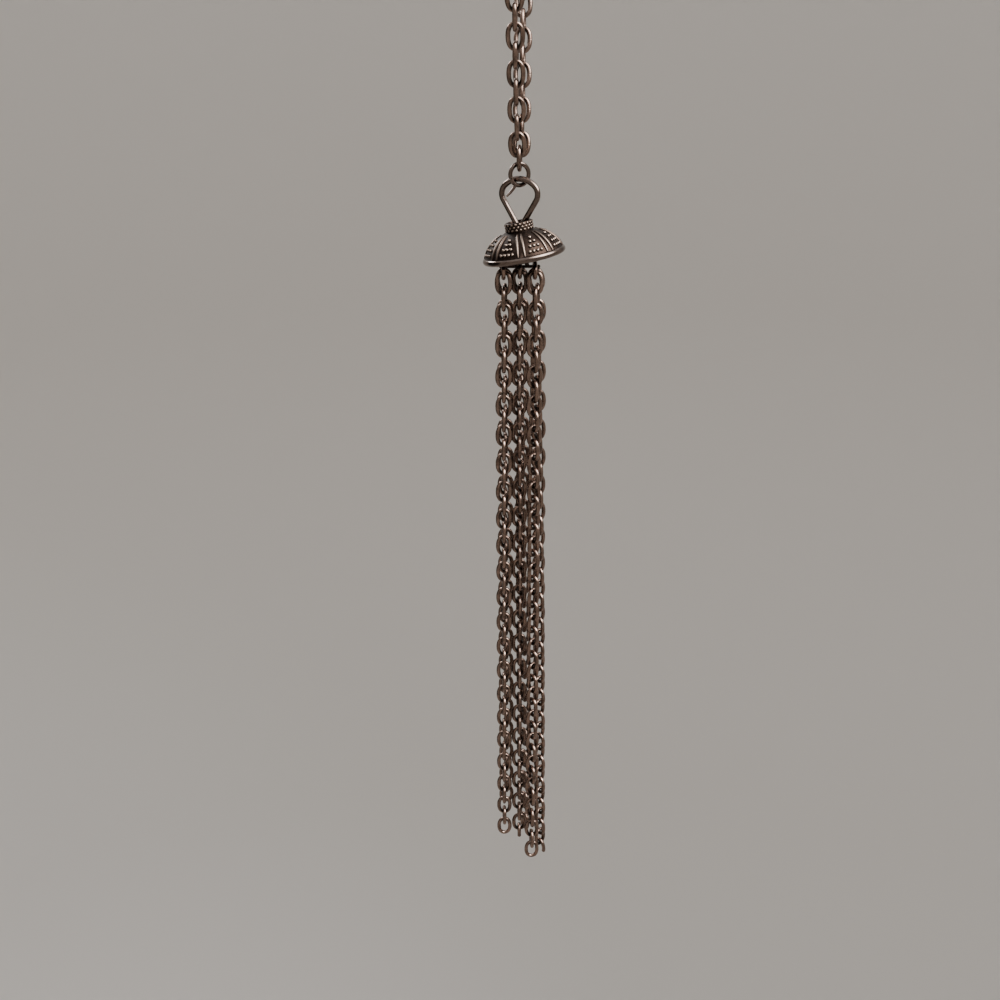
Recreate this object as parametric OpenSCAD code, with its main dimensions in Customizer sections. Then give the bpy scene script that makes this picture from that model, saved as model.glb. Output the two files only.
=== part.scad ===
// Long necklace of fine oval cable chain. Both strands of the loop hook on one
// centre link, which holds a jump ring, a wire bail and a tilted bead cap with
// a tassel of six chain strands. Millimetres. The origin is the top of the
// loop, where it lies on the nape: +Z up, +X across the loop, +Y out of it.

/* [Chain links] */
// Outer length of an oval link
link_l = 3.02; // [3:0.01:3.04]
// Outer width of an oval link
link_w = 2.14; // [2.12:0.01:2.16]
// Wire diameter of the links
wire_d = 0.5; // [0.46:0.01:0.5]
// Slack between two hooked links
link_gap = 0.12; // [0.11:0.01:0.14]
// Outer width of the link in the middle, where both strands hook
centre_w = 2.6; // [2.55:0.05:2.8]

/* [Loop] */
// Radius of the loop where it goes round the neck
neck_r = 60; // [55:1:70]
// Angle of each straight strand from the vertical
v_angle = 13.9; // [12:0.1:15]
// Links between the centre link and the clasp, on each side
side_links = 181; // [175:2:185]
// Links next to the centre link that are drawn one by one, on each side
front_links = 12; // [4:2:12]
// Sideways offset of the two strands, so that they pass each other
strand_y = 0.2; // [0.19:0.01:0.21]
// Diameter of the plain tube that stands for the rest of the chain
tube_d = 2.0; // [1.8:0.1:2.1]

/* [Clasp] */
// Diameter of the barrel clasp
clasp_d = 3.2; // [2.6:0.1:4]
// Length of its barrel
clasp_l = 8.4; // [8.2:0.1:8.6]
// Wire diameter of its end eyes
eye_wire = 0.5; // [0.45:0.01:0.5]

/* [Jump ring] */
// Outer diameter of the jump ring
ring_d = 2.9; // [2.85:0.01:3]
// Wire diameter of the jump ring
ring_wire = 0.5; // [0.45:0.01:0.5]
// Turn of the ring about the vertical, from facing +X
ring_turn = 32; // [30:1:34]

/* [Bail] */
// Wire diameter of the bail
bail_wire = 0.68; // [0.6:0.01:0.7]
// Width of the bail between the middles of its wire
bail_w = 4.72; // [4.4:0.02:5]
// Radius of its two shoulders
bail_shoulder_r = 1.25; // [1.1:0.05:1.4]
// Turn of the bail about the vertical, from facing +X
bail_turn = -24; // [-28:1:-22]

/* [Cap] */
// Outer diameter of the cap at its rim
cap_d = 10; // [9.6:0.1:10.4]
// Diameter of the round rim
rim_d = 0.75; // [0.6:0.01:0.8]
// Height of the dome, from the bottom of the rim to the collar
dome_h = 3.2; // [3:0.1:3.4]
// How far the dome bulges out of a straight cone
dome_bulge = 0.55; // [0.4:0.05:0.7]
// Wall thickness of the dome
cap_wall = 0.45; // [0.4:0.05:0.5]
// Outer diameter of the collar
collar_d = 3.2; // [3.15:0.05:3.3]
// Height of the collar above the dome
collar_h = 1.1; // [1:0.05:1.2]
// Tilt of the cap, with its +Y side up
cap_tilt = 10; // [6:1:11]
// Groups of two ribs round the dome
rib_groups = 8; // [6:1:9]
// Diameter of a rib
rib_d = 0.34; // [0.28:0.02:0.4]
// Diameter of a grain
grain_d = 0.42; // [0.36:0.02:0.46]
// Diameter of a grain of the two rows round the collar
collar_grain_d = 0.4; // [0.36:0.02:0.42]

/* [Tassel] */
// Turn of the cap and the tassel about the vertical, from facing +X
pendant_turn = 5; // [0:1:10]
// Diameter of the tube that stands for the strand hidden at the back
strand_tube_d = 1.8; // [1.6:0.1:1.9]
// Wire diameter of the hanger inside the cap
hanger_wire = 0.5; // [0.45:0.01:0.5]
// Length of the hanger's cross bar
bar_l = 4.9; // [4.8:0.1:5.2]
// Diameter of the cross bar
bar_d = 0.4; // [0.38:0.01:0.4]
// Outer length of the level links that hang on it
level_l = 3.7; // [3.65:0.05:3.8]
// Outer width of the level links
level_w = 2.3; // [2.25:0.01:2.35]

/* [Hidden] */
$fn = 24;

SILVER = [0.42, 0.38, 0.35];
DARK_SILVER = [0.33, 0.29, 0.27];
LEFT = -1;
RIGHT = 1;
// Overlap where two drawn pieces of one solid meet
FUSE = 0.02;

// Links: their spacing, and half the length between the middles of the wire
pitch = link_l - 2 * wire_d - link_gap;
half_l = (link_l - wire_d) / 2;

// Loop: the two straight strands touch the neck arc and start at the height
// of the centre link, start_x from its middle
start_x = 0.34;
first_t = 1.55;
centre_z = -neck_r - (neck_r - start_x * cos(v_angle)) / sin(v_angle);
tangent_t = (-neck_r - centre_z) * cos(v_angle) - start_x * sin(v_angle);
arc_l = neck_r * PI * (90 + v_angle) / 180;
side_l = tangent_t + arc_l;
// The clasp's eyes hang in the last links
eye_t = first_t + pitch * (side_links - 1) + half_l - (wire_d + eye_wire) / 2 - 0.1;
eye_x = side_l - eye_t;
eye_r = eye_x - clasp_l / 2;

// A point of a strand's middle line, t along it from the centre link
function strand_point(side, t) =
    let(a = t < tangent_t ? 0 : (t - tangent_t) / neck_r * 180 / PI,
        y = -side * strand_y * (1 - t / side_l))
    t < tangent_t
        ? [side * (start_x + t * sin(v_angle)), y, centre_z + t * cos(v_angle)]
        : [side * neck_r * cos(v_angle - a), y, -neck_r + neck_r * sin(a - v_angle)];

// Jump ring and bail, and all that hangs from them: heights are from the middle
// of the centre link
hook_gap = 0.13;
ring_r = (ring_d - ring_wire) / 2;
ring_top = -half_l + (wire_d + ring_wire) / 2 + 0.18;
ring_bottom = ring_top - 2 * ring_r;
bail_top = ring_bottom + (ring_wire + bail_wire) / 2 + hook_gap;
// The widest place of the bail, the foot where its wires come together, and the
// ball on its stem that stops the cap
wide_z = -3.95;
foot_z = -7.45;
stem_z = -9.6;
foot_x = 0.34;
stem_r = 0.6;
stop_r = 1;
// The top arc passes into the shoulders without a corner
shoulder_x = bail_w / 2 - bail_shoulder_r;
drop = wide_z - bail_top;
top_r = (bail_shoulder_r ^ 2 - shoulder_x ^ 2 - drop ^ 2) / (2 * (drop + bail_shoulder_r));
top_half = atan2(shoulder_x, wide_z - bail_top + top_r);
foot_dist = norm([foot_x - shoulder_x, foot_z - wide_z]);
leg_a = atan2(foot_z - wide_z, foot_x - shoulder_x) + acos(bail_shoulder_r / foot_dist);
leg_start = [shoulder_x, wide_z] + bail_shoulder_r * [cos(leg_a), sin(leg_a)];
shoulder_end = [shoulder_x, wide_z] + bail_shoulder_r * [sin(top_half), cos(top_half)];
// The bent parts stop joint_gap short of each other, and a soldered ball that is
// a little thicker than the wire joins them
joint_d = bail_wire + 0.05;
joint_gap = 0.04;
shoulder_trim = joint_gap / bail_shoulder_r * 180 / PI;
top_trim = joint_gap / top_r * 180 / PI;

// Cap: the dome is an arc from the rim to the collar in the plane of radius
// and height, and the cap tilts about the hole in its top
rim_r = (cap_d - rim_d) / 2;
dome_low = [rim_r + 0.12, rim_d * 0.75];
dome_top = [collar_d / 2 - 0.05, dome_h];
dome_chord = norm(dome_top - dome_low);
dome_r = dome_chord ^ 2 / (8 * dome_bulge) + dome_bulge / 2;
dome_out = [dome_top[1] - dome_low[1], dome_low[0] - dome_top[0]] / dome_chord;
dome_mid = (dome_low + dome_top) / 2 - dome_out * (dome_r - dome_bulge);
plate_z = dome_h + 0.1;
plate_t = 0.4;
hole_r = 0.8;
recess_r = 1.3;
cap_z = -8;

// Grains in each field between two rib groups, a triangle that points up: how
// high each row lies on the dome's arc, in degrees, and how many grains it has
GRAIN_ANGLE = 0;
GRAIN_COUNT = 1;
GRAIN_ROWS = [[30, 4], [39, 3], [48, 2], [57, 1]];
grain_step = 0.48;
// The ribs end on the same arc at this many degrees, short of the collar
rib_top = 70;
// Rows of grains round the collar: the height from its foot, and the first
// grain's turn. They sink into the collar by grain_sink past their middle
COLLAR_ROWS = [[0.33, 3.7], [0.8, 14.2]];
collar_grains = 16;
grain_sink = 0.08;

// Tassel: three lengths of chain are folded over the hanger's bar, each in one
// level link. A row holds a strand's hook, knee and end, each as [across, away]
// from the plumb line, its turns, and its number of links
HOOK = 0;
KNEE = 1;
END = 2;
TURN_TOP = 3;
TURN_END = 4;
TURN_SWELL = 5;
COUNT = 6;
STRANDS = [
    [[-1.95, -1.25], [-1.95, -1.45], [-2.50, -1.25], 0, 0, 0, 43],
    [[-1.95, 0.65], [-1.75, 1.00], [-2.15, 1.30], 0, 6, 0, 41],
    [[0.00, -0.65], [-0.10, -0.60], [-0.30, -0.40], 0, 0, 10, 43],
    [[0.00, 1.25], [0.15, 1.80], [0.60, 2.05], 0, 35, 0, 44],
    [[1.80, -1.25], [1.80, -1.60], [1.50, -1.95], 0, 0, 45, 45],
    [[1.80, 0.65], [2.20, 0.95], [2.85, 0.75], 0, 45, 15, 45]];
level_z = -12.62;
level_shift = 0.3;
hook_z = level_z - 0.1;
bar_z = level_z + level_w / 2 - wire_d - bar_d / 2 - 0.12;
leg_y = 0.95;
knob_r = 0.3;

// [across, away] at height z from the centre link
function place(at, z) = [-at[1], at[0], z];
function along(a, b) = (b - a) / norm(b - a);
function strand_top(s) = place(s[HOOK], hook_z);
function first_dir(s) = along(strand_top(s), place(s[KNEE], hook_z - 2 * half_l * 0.97));
function first_mid(s) = strand_top(s) + first_dir(s) * half_l;
function knee_point(s) = first_mid(s) + first_dir(s) * pitch / 2;
function strand_dir(s) =
    along(knee_point(s), place(s[END], knee_point(s)[2] - pitch * (s[COUNT] - 1)));
function strand_turn(s, i) =
    let(f = i / (s[COUNT] - 1))
    s[TURN_TOP] + (s[TURN_END] - s[TURN_TOP]) * f + s[TURN_SWELL] * sin(180 * f);

// One oval link, its length along Z and its width along Y
module link(l = link_l, w = link_w) {
    r = (w - wire_d) / 2;
    straight = l - w;
    for (end = [-1, 1]) {
        translate([0, 0, end * straight / 2])
            rotate([90, 0, 90])
            rotate([0, 0, end > 0 ? 0 : 180])
            rotate_extrude(angle = 180)
            translate([r, 0]) circle(d = wire_d);
        translate([0, end * r, -straight / 2])
            cylinder(d = wire_d, h = straight);
    }
}

// A link with its middle at p and its length along dir, turned about it
module link_at(p, dir, turn) {
    up = dir[2] < 0 ? -dir : dir;
    lean_way = atan2(up[1], up[0]);
    translate(p)
        rotate([0, acos(up[2] / norm(up)), lean_way])
        rotate([0, 0, turn - lean_way])
        link();
}

// A straight wire from a to b
module wire(a, b, d) {
    v = b - a;
    translate(a)
        rotate([0, acos(v[2] / norm(v)), atan2(v[1], v[0])])
        cylinder(d = d, h = norm(v));
}

// A part of a round wire ring in the XZ plane, from angle a over sweep degrees
module arc_wire(mid, r, a, sweep, d) {
    translate([mid[0], 0, mid[1]])
        rotate([90, 0, 0])
        rotate([0, 0, a])
        rotate_extrude(angle = sweep)
        translate([r, 0]) circle(d = d);
}

// A closed tube with eight sides round the middle line pts, all in planes
// square to the list's own direction at each point
module tube(pts, d) {
    n = len(pts);
    sides = 8;
    function dir(i) = along(pts[max(i - 1, 0)], pts[min(i + 1, n - 1)]);
    function side_way(i) = let(c = cross([0, 1, 0], dir(i))) c / norm(c);
    function up_way(i) = cross(dir(i), side_way(i));
    points = [for (i = [0:n - 1], k = [0:sides - 1])
        let(a = 360 * k / sides + 180 / sides)
        pts[i] + d / 2 * (side_way(i) * cos(a) + up_way(i) * sin(a))];
    walls = [for (i = [0:n - 2], k = [0:sides - 1])
        let(m = (k + 1) % sides)
        [i * sides + m, i * sides + k, (i + 1) * sides + k, (i + 1) * sides + m]];
    ends = [[for (k = [0:sides - 1]) k],
            [for (k = [sides - 1:-1:0]) (n - 1) * sides + k]];
    polyhedron(points = points, faces = concat(walls, ends));
}

// The stretch of one side of the loop from the front links to the clasp
module neck_chain(side) {
    from = first_t + pitch * (front_links - 1) + link_l / 2 + link_gap;
    to = eye_t - eye_wire / 2 - link_gap;
    straight = 12;
    curved = 23;
    steps = concat([for (i = [0:straight - 1]) from + (tangent_t - from) * i / straight],
                   [for (i = [0:curved]) tangent_t + (to - tangent_t) * i / curved]);
    color(SILVER) tube([for (t = steps) strand_point(side, t)], tube_d);
}

// The links next to the centre link: the first faces +X, the next lies in the
// loop's plane, and so on
module front_chain(side) {
    color(SILVER)
        for (i = [0:front_links - 1])
            link_at(strand_point(side, first_t + pitch * i),
                    [side * sin(v_angle), 0, cos(v_angle)], i % 2 * 90);
}

// What hangs is drawn from the middle of the centre link
module hung(turn = 0) {
    translate([0, 0, centre_z]) rotate([0, 0, turn]) children();
}

module clasp() {
    z = -neck_r * (1 - cos(eye_x / neck_r * 180 / PI));
    color(SILVER)
        union() {
            translate([-clasp_l / 2, 0, z]) rotate([0, 90, 0]) cylinder(d = clasp_d, h = clasp_l);
            for (end = [-1, 1])
                translate([end * clasp_l / 2, 0, z]) {
                    rotate([0, 90, 0]) cylinder(d = clasp_d * 0.6, h = 0.6, center = true);
                    rotate([90, 0, 0])
                        rotate_extrude() translate([eye_r, 0]) circle(d = eye_wire);
                }
        }
}

module centre_link() {
    color(DARK_SILVER) hung(90) link(link_l, centre_w);
}

module jump_ring() {
    color(DARK_SILVER)
        hung(90 + ring_turn)
        translate([0, 0, ring_top - ring_r])
        rotate([90, 0, 0])
        rotate_extrude() translate([ring_r, 0]) circle(d = ring_wire);
}

// Bail, stem and hanger are one soldered piece
module bail() {
    color(SILVER)
        hung() {
            rotate([0, 0, 90 + bail_turn]) {
                arc_wire([0, bail_top - top_r], top_r, 90 - top_half + top_trim,
                         2 * (top_half - top_trim), bail_wire);
                for (side = [0, 180])
                    rotate([0, 0, side]) {
                        arc_wire([shoulder_x, wide_z], bail_shoulder_r, leg_a + shoulder_trim,
                                 90 - top_half - leg_a - 2 * shoulder_trim, bail_wire);
                        wire([leg_start[0], 0, leg_start[1]], [foot_x, 0, foot_z], bail_wire);
                        for (p = [shoulder_end, leg_start, [foot_x, foot_z]])
                            translate([p[0], 0, p[1]]) sphere(d = joint_d);
                    }
            }
            translate([0, 0, stem_z]) cylinder(r = stem_r, h = foot_z - stem_z);
            translate([0, 0, stem_z]) sphere(r = stop_r);
            rotate([0, 0, pendant_turn]) {
                for (side = [-1, 1]) {
                    wire([0, 0, stem_z], [0, side * leg_y, bar_z], hanger_wire);
                    translate([0, side * bar_l / 2, bar_z]) sphere(r = knob_r);
                }
                wire([0, -bar_l / 2, bar_z], [0, bar_l / 2, bar_z], bar_d);
            }
        }
}

// The cap's dome wall, rim, top plate and collar as one turned shape
module cap_body() {
    difference() {
        rotate_extrude() {
            translate([rim_r, rim_d / 2]) circle(d = rim_d);
            intersection() {
                difference() {
                    translate(dome_mid) circle(r = dome_r);
                    translate(dome_mid) circle(r = dome_r - cap_wall);
                }
                translate([hole_r, rim_d / 2]) square([rim_r + 0.2, dome_h]);
            }
            translate([hole_r, plate_z - plate_t])
                square([collar_d / 2 - hole_r, plate_t]);
            translate([recess_r, plate_z - FUSE])
                square([collar_d / 2 - recess_r, dome_h + collar_h - plate_z + FUSE]);
        }
        translate([0, 0, plate_z]) cylinder(r = recess_r, h = collar_h);
    }
}

// A raised rib that follows the dome up from the rim
module rib(a) {
    low = atan2(rim_d - dome_mid[1], rim_r - dome_mid[0]);
    rotate([0, 0, a]) arc_wire(dome_mid, dome_r, low, rib_top - low, rib_d);
}

// One field of grains, widest at the rim
module grain_field(a) {
    for (row = GRAIN_ROWS, i = [0:row[GRAIN_COUNT] - 1]) {
        r = dome_mid[0] + dome_r * cos(row[GRAIN_ANGLE]);
        z = dome_mid[1] + dome_r * sin(row[GRAIN_ANGLE]);
        turn = (i - (row[GRAIN_COUNT] - 1) / 2) * grain_step * 180 / PI / r;
        rotate([0, 0, a + turn]) translate([r, 0, z]) sphere(d = grain_d);
    }
}

module cap() {
    rib_turn = -4;
    rib_half = 5;
    color(SILVER)
        hung(pendant_turn)
        translate([0, 0, cap_z])
        rotate([cap_tilt, 0, 0])
        translate([0, 0, -plate_z]) {
            cap_body();
            for (g = [0:rib_groups - 1]) {
                a = rib_turn + g * 360 / rib_groups;
                rib(a - rib_half);
                rib(a + rib_half);
                grain_field(a + 180 / rib_groups);
            }
            for (row = COLLAR_ROWS, i = [0:collar_grains - 1])
                rotate([0, 0, row[1] + i * 360 / collar_grains])
                    translate([collar_d / 2 - grain_sink, 0, dome_h + row[0]])
                    sphere(d = collar_grain_d);
        }
}

// The links of one strand. Where level_side is -1 or 1, also the level link that
// joins it to its other half, set towards +X or -X
module strand(s, level_side = 0) {
    color(DARK_SILVER) hung(pendant_turn) {
        link_at(first_mid(s), first_dir(s), strand_turn(s, 0));
        for (i = [1:s[COUNT] - 1])
            link_at(knee_point(s) + strand_dir(s) * pitch * (i - 0.5), strand_dir(s),
                    i % 2 * 90 + strand_turn(s, i));
        if (level_side != 0)
            translate(place([s[HOOK][0], level_side * level_shift], level_z))
                rotate([90, 0, 0]) rotate([0, 90, 0]) link(level_l, level_w);
    }
}

// The strand hidden at the back, as one tube
module tube_strand(s) {
    rings = 5;
    first = knee_point(s);
    last = first + strand_dir(s) * (pitch * (s[COUNT] - 1.5) + link_l / 2);
    color(DARK_SILVER)
        hung(pendant_turn)
        tube([for (i = [0:rings]) first + (last - first) * i / rings], strand_tube_d);
}

neck_chain(LEFT);  // neck_chain_left
neck_chain(RIGHT);  // neck_chain_right
front_chain(LEFT);  // front_links_left
front_chain(RIGHT);  // front_links_right
clasp();
centre_link();
jump_ring();
bail();
cap();
strand(STRANDS[0], -1);  // tassel_strand_1
strand(STRANDS[1]);  // tassel_strand_2
strand(STRANDS[2], 1);  // tassel_strand_3
tube_strand(STRANDS[3]);  // tassel_strand_4
strand(STRANDS[4], -1);  // tassel_strand_5
strand(STRANDS[5]);  // tassel_strand_6
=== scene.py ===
"""Tassel necklace: antique silver chain, jump ring, bail, granulated cap and a
tassel of chain strands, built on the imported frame. Run as a script."""

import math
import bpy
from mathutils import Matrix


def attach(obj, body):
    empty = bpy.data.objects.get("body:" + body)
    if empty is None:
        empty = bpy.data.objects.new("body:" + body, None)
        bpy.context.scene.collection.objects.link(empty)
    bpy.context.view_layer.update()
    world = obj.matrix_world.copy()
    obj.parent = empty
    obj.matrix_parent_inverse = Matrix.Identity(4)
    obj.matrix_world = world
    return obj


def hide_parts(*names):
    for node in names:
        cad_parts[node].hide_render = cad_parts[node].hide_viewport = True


bl_info = {
    "name": "Tassel Necklace",
    "version": (1, 0, 0),
    "blender": (4, 5, 0),
    "location": "3D View > Sidebar > Necklace",
    "description": "Antique silver chain necklace with a bead cap and a chain tassel",
    "category": "Object",
}

from collections import namedtuple

import bmesh
import bpy
import numpy as np
from mathutils import Matrix, Vector

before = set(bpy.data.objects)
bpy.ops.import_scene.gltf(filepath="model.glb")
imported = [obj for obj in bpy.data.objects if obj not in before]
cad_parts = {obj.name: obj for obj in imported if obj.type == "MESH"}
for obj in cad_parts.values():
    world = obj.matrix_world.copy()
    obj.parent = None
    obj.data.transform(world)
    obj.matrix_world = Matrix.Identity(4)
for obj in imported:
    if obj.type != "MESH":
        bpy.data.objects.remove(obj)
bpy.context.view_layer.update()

MM = 0.001
FULL_TURN = 2 * math.pi
QUARTER = math.pi / 2
FLOAT, COLOR = "NodeSocketFloat", "NodeSocketColor"

# The strands of the tassel. hook, knee and end are where the first link hooks and
# where the knee below it and the last link hang, each (across, away) from the
# plumb line in millimetres. twist is how far the links turn down to the end and
# swell how far they turn half way, in degrees. node is what the strand stands for.
Strand = namedtuple("Strand", "hook knee end twist swell links node")
STRANDS = (
    Strand((-1.95, -1.25), (-1.95, -1.45), (-2.50, -1.25), 0, 0, 43, "tassel_strand_1"),
    Strand((-1.95, 0.65), (-1.75, 1.00), (-2.15, 1.30), 6, 0, 41, "tassel_strand_2"),
    Strand((0.00, -0.65), (-0.10, -0.60), (-0.30, -0.40), 0, 10, 43, "tassel_strand_3"),
    Strand((0.00, 1.25), (0.15, 1.80), (0.60, 2.05), 35, 0, 44, "tassel_strand_4"),
    Strand((1.80, -1.25), (1.80, -1.60), (1.50, -1.95), 0, 45, 45, "tassel_strand_5"),
    Strand((1.80, 0.65), (2.20, 0.95), (2.85, 0.75), 45, 15, 45, "tassel_strand_6"),
)
# The level links that the strands hang from: (across, away) in millimetres, by the
# strand whose piece each belongs to
LEVEL_LINKS = {"tassel_strand_1": (-1.95, -0.3), "tassel_strand_3": (0.0, 0.3),
               "tassel_strand_5": (1.8, -0.3)}
# Strands that end in what is left of a cut link, and its turn in degrees
CUT_LINKS = {"tassel_strand_3": 90, "tassel_strand_6": -90}
# Share of its length by which the first link of a strand reaches down
KNEE_SHARE = 0.97

# The soldered seam of a link: distance along the wire in millimetres, and the
# share of the wire's thickness there. No other point lies within SEAM_ROOM.
SEAM = ((-0.1, 1.0), (-0.04, 1.015), (0.0, 0.95), (0.04, 1.015), (0.1, 1.0))
SEAM_ROOM = 0.13 * MM
# How far the two stubs of a cut link go past its widest place, in radians
LONG_STUB, SHORT_STUB = 0.35, 0.07
# Where the ring is cut, and half the width of the cut, in degrees
RING_CUT, HALF_CUT = 200, 1.5
# The ring's loose end, across and down from the ring's middle: start, slope and
# bend in millimetres, and how much thinner the tip is
TAIL_ACROSS, TAIL_DROP, TAIL_TAPER = (-0.50, -0.95, -0.25), (1.08, 1.55, -0.30), 0.35

# Grains in a field of the cap: height of the row on the dome's arc, and count
GRAIN_ROWS = ((30, 4), (39, 3), (48, 2), (57, 1))
# Rows of grains round the collar: height from its foot, and the first turn
COLLAR_ROWS = ((0.00024, 3.7), (0.00056, 12.7), (0.00088, 3.7))
# How far the dome's arc goes on inside the rim, and how its ribs thin out at
# their ends, in radians and as a power
DOME_OVERLAP, RIB_END, RIB_POWER = 0.05, 0.35, 0.3
# Faces that meet at more than this keep a sharp edge
SHARP_ANGLE = math.radians(50)

# The metals: names of the bright and the dark colour, how much oxide there is,
# roughness of the bright and the dark places, and whether the relief is polished
Silver = namedtuple("Silver", "bright dark amount smooth dull relief")
SILVERS = {
    "Chain Silver": Silver("chain", "tarnish", 0.22, 0.18, 0.38, False),
    "Wire Silver": Silver("handled", "tarnish", 0.12, 0.12, 0.20, False),
    # The hanger's silver is the wire's silver with more oxide and more roughness. The
    # extra darkness is painted shade, because the hanger hangs in the cap's shadow.
    "Shadow Silver": Silver("handled", "tarnish", 0.50, 0.30, 0.60, False),
    "Cap Silver": Silver("chain", "field", 0.66, 0.30, 0.42, True),
}
# Where the polish of the cap's relief starts and is full, as shares of a grain of
# the dome, of the rim and of a grain of the collar
DOME_SHINE, RIM_SHINE, COLLAR_SHINE = (0.2, 0.46), (0.9, 1.15), (0.3, 0.5)
# Strength and depth of the scratches and pits
WEAR_STRENGTH, WEAR_DEPTH = 0.25, 0.02 * MM

# The backdrop: height of its floor and of its top, radius of the bend between
# floor and wall, and distance of the wall, in metres
FLOOR_Z, WALL_TOP, WALL_BEND, WALL_REACH = -1.7, 1.5, 0.9, 2.6
# The lamps: place round the necklace in degrees, then distance from the plumb
# line, height over the target, width and height of the lit face, in metres
Lamp = namedtuple("Lamp", "name azimuth away height wide tall")
LAMPS = (Lamp("key", 155, 0.206, 0.245, 0.4, 0.4),
         Lamp("fill", 315, 0.5, 0.3, 0.3, 0.1))
# What the lamps point at, below the centre link
TARGET_DROP = 0.03
# The black card: place round the necklace from the camera in degrees, then its
# distance from the plumb line, drop, half width and half height, in metres
CARD_TURN, CARD_AWAY, CARD_DROP, CARD_WIDE, CARD_TALL = -100, 0.3, 0.08, 0.13, 0.22


def prop(kind, name, default, description, **settings):
    """A value that the sidebar shows."""
    return kind(name=name, default=default, description=description, **settings)


def length(*given):
    """A size in metres."""
    return prop(bpy.props.FloatProperty, *given, unit="LENGTH", subtype="DISTANCE",
                precision=5)


def angle(name, degrees, description):
    """An angle, given here in degrees."""
    return prop(bpy.props.FloatProperty, name, math.radians(degrees), description,
                unit="ROTATION", subtype="ANGLE")


def count(*given):
    """A whole number of pieces."""
    return prop(bpy.props.IntProperty, *given, min=1)


def factor(*given):
    """A plain number."""
    return prop(bpy.props.FloatProperty, *given, precision=3)


def colour(*given):
    """A colour as linear red, green and blue."""
    return prop(bpy.props.FloatVectorProperty, *given, subtype="COLOR", size=3, min=0,
                max=1)


class ChainSizes(bpy.types.PropertyGroup):
    link_length: length("Link length", 0.00302, "Outer length of an oval link")
    link_width: length("Link width", 0.00214, "Outer width of an oval link")
    wire: length("Wire", 0.0005, "Wire diameter of the links")
    side_wire: length("Side wire", 0.00055, "Thickness of the wire on a link's sides")
    end_wire: length("End wire", 0.0005, "Thickness of the wire at a link's ends")
    fullness: factor("Fullness", 2.35, "Shape of a link: 2 is an ellipse, 3 squarer")
    slack: length("Slack", 0.00012, "Slack between two hooked links")
    centre_width: length("Centre width", 0.0026, "Width of the link where strands hook")
    wobble: angle("Wobble", 2.5, "Most that a link turns out of line")
    tip: angle("Tip", 1, "Most that a link tips out of line")


class LoopSizes(bpy.types.PropertyGroup):
    neck_radius: length("Neck radius", 0.06, "Radius of the loop round the neck")
    slant: angle("Slant", 13.9, "Angle of each straight strand from the vertical")
    side_links: count("Side links", 181, "Links from the centre link to the clasp")
    front_links: count("Front links", 12, "Links of a side that are solids one by one")
    start_x: length("Start across", 0.00034, "Distance of a strand's start from middle")
    first_link: length("First link", 0.00155, "Distance of the first and centre links")
    strand_y: length("Strand offset", 0.0002, "Offset that lets the strands pass")
    clasp_d: length("Clasp diameter", 0.0032, "Diameter of the barrel clasp")
    clasp_l: length("Clasp length", 0.0084, "Length of the barrel clasp")
    clasp_groove: length("Clasp groove", 0.00012, "Depth of the barrel's grooves")
    eye_wire: length("Eye wire", 0.0005, "Wire of the clasp's eyes")
    eye_gap: length("Eye gap", 0.0001, "Slack between the last link and the eye")


class RingSizes(bpy.types.PropertyGroup):
    ring_d: length("Ring diameter", 0.0029, "Outer diameter of the jump ring")
    ring_wire: length("Ring wire", 0.0005, "Wire diameter of the jump ring")
    tail_wire: length("Tail wire", 0.00045, "Thickness of the ring's loose end")
    ring_rise: length("Ring rise", 0.00018, "Clearance of the ring and the centre link")
    ring_turn: angle("Ring turn", 32, "Turn of the ring from facing +X")
    bail_wire: length("Bail wire", 0.00068, "Wire diameter of the bail")
    bail_w: length("Bail width", 0.00472, "Width of the bail between wire middles")
    shoulder: length("Shoulder", 0.00125, "Radius of the bail's shoulders")
    bail_turn: angle("Bail turn", -24, "Turn of the bail from facing +X")
    hook_gap: length("Hook gap", 0.00013, "Clearance between the ring and the bail")
    wide_drop: length("Wide drop", 0.00395, "Drop of the bail's widest place")
    foot_drop: length("Foot drop", 0.00745, "Drop of the foot, where the wires meet")
    foot_x: length("Foot", 0.00034, "Half the distance of the wires at the foot")
    stem_d: length("Stem", 0.0012, "Diameter of the stem under the foot")
    stem_drop: length("Stem drop", 0.0096, "Drop of the ball that stops the cap")
    stop_d: length("Stop", 0.002, "Diameter of the ball that stops the cap")


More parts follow.
